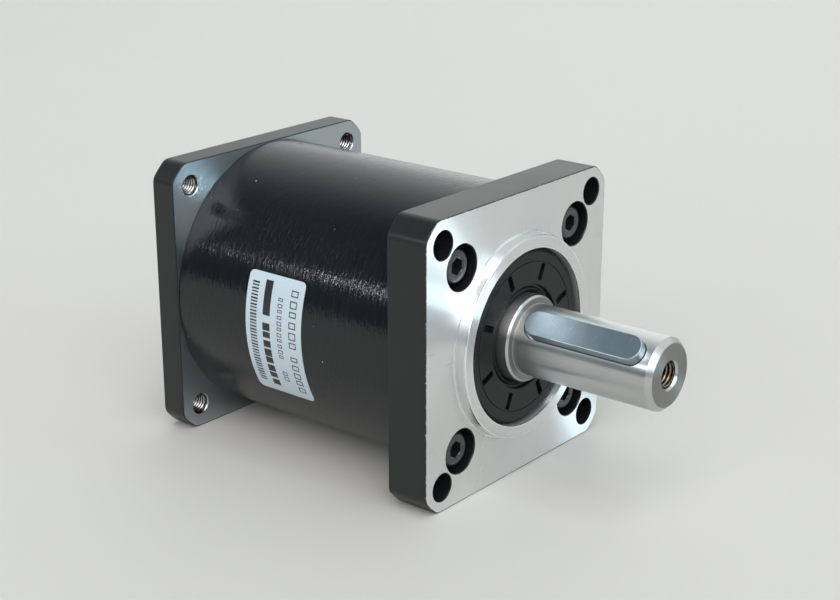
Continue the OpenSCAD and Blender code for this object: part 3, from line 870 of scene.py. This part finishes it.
def barrel(skin):
    """Round barrel with broken ends, the clamp screw's access hole and the ring gear's bore."""
    shape = Shape()
    outer = [
        (BARREL_R - 0.45, BARREL_FRONT), (BARREL_R - 0.15, BARREL_FRONT - 0.12),
        (BARREL_R, BARREL_FRONT - 0.5), (BARREL_R, BARREL_REAR + 0.4),
        (BARREL_R - 0.12, BARREL_REAR + 0.12), (BARREL_R - 0.4, BARREL_REAR),
        (MOTOR_BORE_R, BARREL_REAR), (MOTOR_BORE_R, RING_REAR), (RING_BORE_R, RING_REAR),
        (RING_BORE_R, RING_FRONT), (NECK_R, RING_FRONT), (NECK_R, BARREL_FRONT)
    ]
    shape.turned(outer, steps=256)
    made = shape.finish("barrel_body", [skin])
    centre_x, centre_z, plug_r = plug_place()
    circle = side_circle(centre_x, centre_z, plug_r + 0.02)
    drill = Shape()
    near = drill.loop([(x, 15.0, z) for x, z in circle])
    far = drill.loop([(x, 32.0, z) for x, z in circle])
    drill.bridge(near, far)
    drill.cap(near)
    drill.cap(far)
    cut(made, drill.finish("drill", []))
    true_round(made, BARREL_R)
    place(made, "housing", "barrel_black", "ring_gear_barrel")


def hex_screw(name, material, y, z, outline, lead_r, across_flats, mouth_x, floor_x):
    """A screw from (radius, x) points, with a hexagon socket that has a small lead-in."""
    shape = Shape()
    loops = [shape.loop(ring(x, r, y, z, SCREW_STEPS)) for r, x in outline]
    shape.chain(loops)
    shape.cap(loops[-1])
    lead = shape.loop(ring(outline[0][1], lead_r, y, z, SCREW_STEPS))
    shape.fill(loops[0], lead)
    inner = shape.loop(hexagon(mouth_x, across_flats, y, z, SCREW_STEPS))
    floor = shape.loop(hexagon(floor_x, across_flats, y, z, SCREW_STEPS))
    shape.chain([lead, inner, floor])
    shape.cap(floor)
    return shape.finish(name, [material])


def socket_screw(name, material, y, z, x_top, length):
    """M4 cap screw with a rounded head and a plain shank, pointing backwards from its top."""
    end = x_top - length
    outline = [
        (2.55, x_top), (2.95, x_top - 0.08), (3.28, x_top - 0.30), (3.46, x_top - 0.62),
        (3.5, x_top - 1.0), (3.5, x_top - 3.8), (3.3, x_top - 4.0), (2.0, x_top - 4.0),
        (1.95, end + 0.5), (1.5, end)
    ]
    return hex_screw(name, material, y, z, outline, 1.95, 3.0, x_top - 0.22, x_top - 2.1)


def hexagon(x, across_flats, y, z, steps):
    """Points of a hexagon, as many as a circle has, so that the two can be bridged."""
    points = []
    for i in range(steps):
        angle = TAU * i / steps
        offset = (angle % (math.pi / 3)) - math.pi / 6
        r = across_flats / 2 / math.cos(offset)
        points.append((x, y - r * math.sin(angle), z + r * math.cos(angle)))
    return points


def countersunk_screw(name, material, y, z, x_head, length):
    """M4 countersunk screw, pointing forwards from its head."""
    end = x_head + length
    outline = [
        (3.55, x_head), (3.75, x_head + 0.12), (3.75, x_head + 0.25), (2.0, x_head + 2.1),
        (1.95, end - 0.4), (1.6, end)
    ]
    return hex_screw(name, material, y, z, outline, 1.62, 2.5, x_head + 0.18, x_head + 1.6)


def all_screws(material):
    """Both sets of four screws, each screw its own piece."""
    top = box_mm("flange_screws")[1].x
    low = box_mm("rear_screws")[0].x
    for number, (y, z) in enumerate(four_corners(SCREW_OFFSET)):
        made = socket_screw(f"flange_screw_{number + 1}", material, y, z, top, 17.0)
        place(made, "housing", "black_screw", "flange_screws")
    for number, (y, z) in enumerate(four_corners(SCREW_OFFSET)):
        made = countersunk_screw(f"rear_screw_{number + 1}", material, y, z, low, 15.8)
        place(made, "housing", "black_screw", "rear_screws")


def slot_outline(x, angle, r_from, r_to, width):
    """A radial slot's rounded outline on the seal's face."""
    half = width / 2
    flat = rounded([(-half, r_from), (half, r_from), (half, r_to), (-half, r_to)], 0.25, 3)
    turn = Matrix.Rotation(angle, 2)
    return [(x, *(turn @ Vector(point))) for point in flat]


def seal(rubber):
    """Lip seal: chamfered rim, flat face with eight slots and a fine ring, dust lip and main lip."""
    shape = Shape()
    face_x = SEAL_HIGH.x
    lip_r = JOURNAL_R + 0.05
    profile = [
        (10.5, face_x), (10.3, face_x - 0.12), (10.1, face_x - 0.8), (9.75, face_x - 0.85),
        (9.5, face_x - 0.45), (9.3, face_x - 0.35), (8.9, face_x - 0.75), (lip_r, face_x - 1.15),
        (lip_r, face_x - 1.5),
        (9.5, -0.6), (9.5, -1.6), (lip_r, -2.6), (lip_r, -2.9), (9.4, -4.2), (10.1, -3.6), (11.2, -3.4),
        (12.0, -4.4), (12.4, -1.2), (15.6, -1.2), (15.6, SEAL_LOW.x), (SEAL_R - 0.02, SEAL_LOW.x),
        (SEAL_R - 0.02, 0.45), (SEAL_R - 0.25, 0.75), (16.75, face_x - 0.18), (16.5, face_x)
    ]
    loops = [shape.loop(ring(x, r, steps=SMOOTH_STEPS)) for r, x in profile]
    shape.chain(loops)
    groove = [
        shape.loop(ring(face_x - depth, r, steps=SMOOTH_STEPS))
        for r, depth in ((14.85, 0.0), (14.80, 0.14), (14.72, 0.14), (14.67, 0.0))
    ]
    shape.chain(groove)
    shape.fill(loops[-1], groove[0])
    slots = []
    for number in range(8):
        angle = TAU * (number + 0.5) / 8
        mouth = shape.loop(slot_outline(face_x, angle, 11.15, 14.50, 1.30))
        floor = shape.loop(slot_outline(face_x - 1.0, angle, 11.20, 14.45, 1.20))
        shape.bridge(mouth, floor)
        shape.fill(floor)
        slots.append(mouth)
    shape.fill(groove[-1], loops[0], *slots)
    made = shape.finish("shaft_seal_body", [rubber])
    place(made, "housing", "seal_rubber", "shaft_seal")


def keyway_cutters():
    """A block that cuts the keyway, and a thin one that breaks the keyway's edge."""
    slot_from = KEY_START - 1.0
    slot_to = KEY_START + KEY_LENGTH + 0.05
    width = KEY_W + 0.04
    outline = stadium(slot_from, slot_to, width)
    heights = (KEY_SEAT, SHAFT_R + 2.0)
    block = Shape()
    block.prism(*[[at_key(x, a, height) for x, a in outline] for height in heights])
    levels = []
    for grow, rise in ((-0.10, -0.33), (0.40, 0.17)):
        grown = stadium(slot_from - grow / 2, slot_to + grow / 2, width + grow)
        levels.append([at_key(x, a, math.sqrt(SHAFT_R ** 2 - a * a) + rise) for x, a in grown])
    breaker = Shape()
    breaker.prism(*levels)
    return block.finish("key_slot", []), breaker.finish("slot_edge", [])


def output_shaft(steel, thread):
    """Stepped shaft with its keyway, centre hole and thread, in one piece with the carrier disc."""
    low = SHAFT_LOW.x
    disc_r = SHAFT_HIGH.y
    groove_r = JOURNAL_R - 0.4
    undercut_r = SHAFT_R - 0.06
    tap_r = M5_R + 0.05
    profile = [
        (0.0, low), (disc_r - 0.3, low), (disc_r, low + 0.3), (disc_r, DISC_FRONT - 0.3),
        (disc_r - 0.3, DISC_FRONT), (STEP_R, DISC_FRONT), (STEP_R, BEARING_REAR),
        (JOURNAL_R, BEARING_REAR), (JOURNAL_R, CIRCLIP_REAR), (groove_r, CIRCLIP_REAR),
        (groove_r, CIRCLIP_FRONT), (JOURNAL_R, CIRCLIP_FRONT), (JOURNAL_R, JOURNAL_FACE - 0.5),
        (JOURNAL_R - 0.08, JOURNAL_FACE - 0.36), (JOURNAL_R - 0.42, JOURNAL_FACE - 0.04),
        (JOURNAL_R - 0.52, JOURNAL_FACE), (SHAFT_R + 0.25, JOURNAL_FACE),
        (undercut_r, JOURNAL_FACE + 0.10), (undercut_r, JOURNAL_FACE + 0.75),
        (SHAFT_R, JOURNAL_FACE + 0.9), (SHAFT_R, SHAFT_END - 1.1),
        (SHAFT_R - 0.10, SHAFT_END - 0.94), (SHAFT_R - 0.92, SHAFT_END - 0.08),
        (SHAFT_R - 1.04, SHAFT_END), (3.05, SHAFT_END), (2.95, SHAFT_END - 0.06),
        (tap_r, SHAFT_END - 0.7), (tap_r, SHAFT_END - THREAD_DEPTH),
        (0.0, SHAFT_END - THREAD_DEPTH - 1.0)
    ]
    shape = Shape()
    shape.turned(profile, steps=192)
    made = shape.finish("output_shaft_body", [steel])
    cut(made, *keyway_cutters())
    true_round(made, SHAFT_R)
    place(made, "output", "shaft_steel", "output_shaft")
    ends = (SHAFT_END - THREAD_DEPTH, SHAFT_END - 0.5)
    sleeve = thread_sleeve("shaft_thread", thread, 0.0, 0.0, *ends, SHAFT_CORE_R, M5_R, M5_PITCH)
    place(sleeve, "output", "shaft_steel")


def shaft_key(steel):
    """Parallel key with round ends and broken edges."""
    shape = Shape()
    edge = [(0.20, 0.0), (0.05, 0.06), (0.0, 0.20)]
    levels = edge + [(inset, KEY_W - height) for inset, height in reversed(edge)]
    loops = []
    for inset, height in levels:
        outline = stadium(KEY_START + inset, KEY_START + KEY_LENGTH - inset, KEY_W - 2 * inset, 20)
        loops.append(shape.loop([at_key(x, a, KEY_SEAT + height) for x, a in outline]))
    shape.chain(loops)
    shape.fill(loops[0])
    shape.fill(loops[-1])
    made = shape.finish("shaft_key_body", [steel])
    place(made, "output", "key_steel", "shaft_key")


def on_barrel(x, turn, lift):
    """A point over the barrel's surface; turn is measured from +Z towards -Y."""
    r = BARREL_R + lift
    return (x, -r * math.sin(turn), r * math.cos(turn))


def wrapped_patch(shape, x_from, x_to, turn_from, turn_to, lift, thick, corner=0.0):
    """A thin patch that follows the barrel, with rounded corners. Positions round it are in radians."""
    rows = max(2, int(abs(turn_to - turn_from) * 40))
    columns = 24 if corner else 1
    grid = {}
    for level in (lift, lift + thick):
        for i in range(rows + 1):
            for j in range(columns + 1):
                u = j / columns
                v = i / rows
                x = x_from + (x_to - x_from) * u
                turn = turn_from + (turn_to - turn_from) * v
                if corner:
                    x, turn = corner_pull(x, turn, x_from, x_to, turn_from, turn_to, corner)
                grid[level, i, j] = shape.mesh.verts.new(on_barrel(x, turn, level))
    for i in range(rows):
        for j in range(columns):
            square = ((i, j), (i, j + 1), (i + 1, j + 1), (i + 1, j))
            for level in (lift, lift + thick):
                shape.face([grid[level, *spot] for spot in square])
    border = [(0, j) for j in range(columns)] + [(i, columns) for i in range(rows)]
    border += [(rows, j) for j in range(columns, 0, -1)] + [(i, 0) for i in range(rows, 0, -1)]
    for first, second in zip(border, border[1:] + border[:1]):
        top = (grid[lift + thick, *second], grid[lift + thick, *first])
        shape.face([grid[lift, *first], grid[lift, *second], *top])


def corner_pull(x, turn, x_from, x_to, turn_from, turn_to, corner):
    """Draws the points near a patch's corners in onto a round corner."""
    across = turn * BARREL_R
    low, high = turn_from * BARREL_R, turn_to * BARREL_R
    centre_x = min(max(x, x_from + corner), x_to - corner)
    centre_a = min(max(across, low + corner), high - corner)
    away = Vector((x - centre_x, across - centre_a))
    if away.x == 0 or away.y == 0:
        return x, turn
    reach = max(abs(away.x), abs(away.y))
    away *= reach / away.length
    return centre_x + away.x, (centre_a + away.y) / BARREL_R


def label(film, ink):
    """Plain label with generic printed bars in place of any wording."""
    shape = Shape()
    x_rear, x_front = LABEL_LOW.x, LABEL_HIGH.x
    start, end = LABEL_START, LABEL_START + LABEL_TURN
    wrapped_patch(shape, x_rear, x_front, start, end, 0.0, LABEL_THICK, corner=LABEL_CORNER)
    shape.slot = 1
    width = x_front - x_rear
    turn = end - start
    for low, high, first, last, marks, fill, line in LABEL_ROWS:
        pitch = (last - first) / marks
        for number in range(marks):
            begin = first + pitch * number
            length = pitch * fill * (1 + 0.14 * ((number * 7 + marks) % 5 - 2) / 2)
            near, far = x_rear + width * low, x_rear + width * high
            top, bottom = start + turn * begin, start + turn * (begin + length)
            stroke = line / BARREL_R
            bars = [
                (near, far, top, top + stroke), (near, far, bottom - stroke, bottom),
                (near, near + line, top, bottom), (far - line, far, top, bottom)
            ]
            for bar in bars if line else [(near, far, top, bottom)]:
                wrapped_patch(shape, *bar, INK_LIFT, INK_THICK)
    made = shape.finish("rating_label_film", [film, ink])
    place(made, "housing", "label_film", "rating_label")


def plug(rubber):
    """Rubber plug that closes the clamp screw's access hole, trimmed to the barrel's curve."""
    shape = Shape()
    centre_x, centre_z, radius = plug_place()
    rings = [
        (1.0, 3.0), (1.0, 0.45), (0.94, 0.22), (0.80, 0.16), (0.55, 0.16), (0.50, 0.45), (0.0001, 0.45)
    ]
    loops = []
    for share, depth in rings:
        circle = side_circle(centre_x, centre_z, radius * share)
        loops.append(shape.loop([(x, math.sqrt((BARREL_R - depth) ** 2 - z * z), z) for x, z in circle]))
    shape.chain(loops)
    shape.fill(loops[0])
    made = shape.finish("access_plug_body", [rubber])
    place(made, "housing", "seal_rubber", "access_plug")


def clamp_blade(rear_x, turn):
    """A thin block across the hub that cuts one of its clamp slots."""
    length = 9.5
    blade = bmesh.new()
    bmesh.ops.create_cube(blade, size=1.0)
    size = Matrix.Diagonal((length, CLAMP_SLOT, 17.0, 1.0))
    middle = Matrix.Translation((rear_x - 0.5 + length / 2, 0, 0))
    blade.transform(Matrix.Scale(MM, 4) @ middle @ Matrix.Rotation(turn, 4, "X") @ size)
    data = bpy.data.meshes.new("blade")
    blade.to_mesh(data)
    blade.free()
    return add_object("blade", data)


def input_hub(steel):
    """Hub for the motor shaft, cut from its turned outline by two crossing slots."""
    low, high = box_mm("input_hub")
    shape = Shape()
    profile = [
        (0.0, HUB_BORE_END), (HUB_BORE_R, HUB_BORE_END), (HUB_BORE_R, low.x + 0.4),
        (HUB_BORE_R + 0.35, low.x), (HUB_R - 0.3, low.x), (HUB_R, low.x + 0.3), (HUB_R, -56.2),
        (HUB_SEAT_R, -56.2), (HUB_SEAT_R, -55.05), (HUB_R + 0.1, -55.05), (HUB_R + 0.1, -54.0),
        (HUB_SEAT_R, -54.0), (HUB_SEAT_R, -49.0), (8.6, -49.0), (8.6, -47.6), (SUN_R, -47.6),
        (SUN_R, high.x), (0.0, high.x)
    ]
    shape.turned(profile, steps=128)
    made = shape.finish("input_hub_body", [steel])
    cut(made, clamp_blade(low.x, 0.0), clamp_blade(low.x, math.pi / 2))
    place(made, "input", "gear_steel", "input_hub")


def dress_frame(finishes):
    """Gives each CAD node that still shows the finish of its material slot."""
    for part in frame["record"]["subparts"]:
        node = frame["nodes"][part["node"]]
        if node.hide_render:
            continue
        node.data.materials.clear()
        node.data.materials.append(finishes[part["material_slot"]])


# ---------------------------------------------------------------- build

machined = machined_face("machined_aluminium", BRIGHT_ALUMINIUM, 0.31, 1.0, 0.5)
finishes = {
    "flange_aluminium": machined,
    "inner_aluminium": machined,
    "rear_flange_black": black_anodised("rear_black_anodised", [REAR_FACE], 0.04),
    "barrel_black": barrel_black(),
    "black_screw": black_oxide(),
    "seal_rubber": seal_rubber(),
    "spring_steel": worn_metal("spring_steel", SPRING_TONES, 0.35),
    "bearing_steel": turned_steel("bearing_steel", BEARING_TONES, 0.16),
    "gear_steel": turned_steel("gear_steel", GEAR_TONES, 0.30),
    "collar_steel": worn_metal("collar_steel", COLLAR_TONES, 0.42),
    "shaft_steel": turned_steel("shaft_steel", SHAFT_TONES, 0.30, 0.8, (JOURNAL_FACE, SHAFT_END)),
    "key_steel": key_steel(),
    "bronze": worn_metal("bronze", BRONZE_TONES, 0.34),
    "label_film": label_film(),
}
front_flange(
    machined,
    black_anodised("black_anodised", [0.0, BARREL_FRONT], 0.06),
    glossy_black(),
    machined_face("turned_aluminium", BRIGHT_ALUMINIUM, 0.34, 0.85),
    # Lighter tones on the boss's broken edges: painted highlight lines
    worn_metal("painted_highlight_edge", EDGE_HIGHLIGHT_ALUMINIUM, 0.16),
)
rear_flange(
    # Darker, bluer tones on the rear flange's face: painted shade and a painted blue reflection
    machined_face("rear_face_painted_shade", SHADED_BLUE_ALUMINIUM, 0.22, 1.0),
    finishes["rear_flange_black"],
    thread_metal("cut_thread", HOLE_OFFSET, REAR_CORE_R, M4_R, (0.62, 0.61, 0.59)),
    machined,
)
barrel(finishes["barrel_black"])
all_screws(finishes["black_screw"])
seal(finishes["seal_rubber"])
output_shaft(
    finishes["shaft_steel"],
    thread_metal("stained_thread", 0.0, SHAFT_CORE_R, M5_R, (0.34, 0.28, 0.19)),
)
shaft_key(finishes["key_steel"])
label(finishes["label_film"], label_ink())
plug(finishes["seal_rubber"])
input_hub(finishes["gear_steel"])
dress_frame(finishes)


# ---------------------------------------------------------------- floor, light and camera

def pale_floor():
    """A square floor of 12 metres under the gearbox."""
    half = 6.0
    z = FLOOR_Z * MM
    corners = [(-half, -half, z), (half, -half, z), (half, half, z), (-half, half, z)]
    data = bpy.data.meshes.new("floor")
    data.from_pydata(corners, [], [(0, 1, 2, 3)])
    data.materials.append(floor_finish())
    floor = add_object("floor", data)


class Sky(Nodes):
    """Soft surroundings made of broad patches of light, each a function of direction alone."""

    def __init__(self):
        world = bpy.data.worlds.new("studio")
        bpy.context.scene.world = world
        world.use_nodes = True
        super().__init__(world.node_tree)
        self.direction = self.add("ShaderNodeTexCoord").outputs["Generated"]
        self.x, self.y, self.z = self.add("ShaderNodeSeparateXYZ", Vector=self.direction).outputs
        self.total = None

    def glow(self, amount, colour, strength):
        """Adds a patch of light: a 0 to 1 amount, its colour and its strength."""
        scaled = tuple(channel * strength for channel in colour)
        patch = self.mix(amount, (0.0, 0.0, 0.0), scaled)
        if self.total is None:
            self.total = patch
            return
        node = self.add("ShaderNodeVectorMath", {"operation": "ADD"})
        self.feed(node.inputs[0], self.total)
        self.feed(node.inputs[1], patch)
        self.total = node.outputs[0]

    def near(self, direction, inner, outer):
        """1 within the inner angle of a direction, 0 beyond the outer one, in degrees."""
        node = self.add("ShaderNodeVectorMath", {"operation": "DOT_PRODUCT"}, Vector=self.direction)
        node.inputs[1].default_value = Vector(direction).normalized()
        gone, full = math.cos(math.radians(outer)), math.cos(math.radians(inner))
        return self.step(node.outputs["Value"], gone, full)


def softbox(name, direction, distance, width, height, power, colour):
    """An area light that faces the gearbox from a direction."""
    data = bpy.data.lights.new(name, "AREA")
    data.shape = "RECTANGLE"
    data.size = width
    data.size_y = height
    data.energy = power
    data.color = colour
    made = add_object(name, data)
    toward = Vector(direction).normalized()
    middle = Vector((-0.02, 0, 0))
    made.location = middle + toward * distance
    made.rotation_mode = "QUATERNION"
    made.rotation_quaternion = toward.to_track_quat("Z", "Y")


def studio():
    """A dim blue sky, bright behind and aside, with small windows and one strip at the front left."""
    sky = Sky()
    sky.glow(1.0, BLUE_SKY, 0.18)
    aside = sky.either(sky.step(sky.x, -0.24, 0.06), sky.step(sky.x, -0.78, -0.94))
    front = sky.step(sky.y, 0.10, -0.40)
    behind = sky.times(sky.step(sky.y, -0.25, 0.75), sky.minus(1.0, sky.times(aside, 0.7)))
    fade = sky.spread(sky.step(sky.x, -0.78, -0.52), 0.58, 1.0)
    sky.glow(sky.times(behind, fade), WHITE_WALL, 1.25)
    sky.glow(sky.times(aside, sky.step(sky.z, 0.08, 0.50)), WARM_WALL, 0.60)
    sky.glow(sky.times(sky.times(aside, front), sky.step(sky.z, 0.10, 0.50)), WARM_WALL, 3.5)
    for direction, inner, outer, tint, strength in WINDOWS:
        sky.glow(sky.near(direction, inner, outer), tint, strength)
    background = sky.tree.nodes["Background"]
    sky.feed(background.inputs["Color"], sky.total)
    softbox("side_strip", (-0.43, -0.79, 0.42), 0.9, 0.08, 0.05, 0.85, (0.92, 0.95, 1.0))


def photo_camera():
    """The camera at the photograph's viewing angle."""
    level = math.cos(CAMERA_ELEVATION)
    back = Vector((
        math.sin(CAMERA_AZIMUTH) * level, -math.cos(CAMERA_AZIMUTH) * level, math.sin(CAMERA_ELEVATION)
    ))
    right = Vector((math.cos(CAMERA_AZIMUTH), math.sin(CAMERA_AZIMUTH), 0))
    up = back.cross(right)
    data = bpy.data.cameras.new("camera")
    data.sensor_width = 36.0
    data.lens = CAMERA_LENS
    data.clip_start = 0.01
    data.clip_end = 20.0
    made = add_object("camera", data)
    along_right, along_up, along_back = CAMERA_PLACE
    place_at = (right * along_right + up * along_up + back * along_back) * MM
    turn = Matrix((right, up, back)).transposed().to_4x4()
    made.matrix_world = Matrix.Translation(place_at) @ turn
    bpy.context.scene.camera = made


pale_floor()
studio()
photo_camera()
bpy.context.scene.view_settings.view_transform = "Standard"
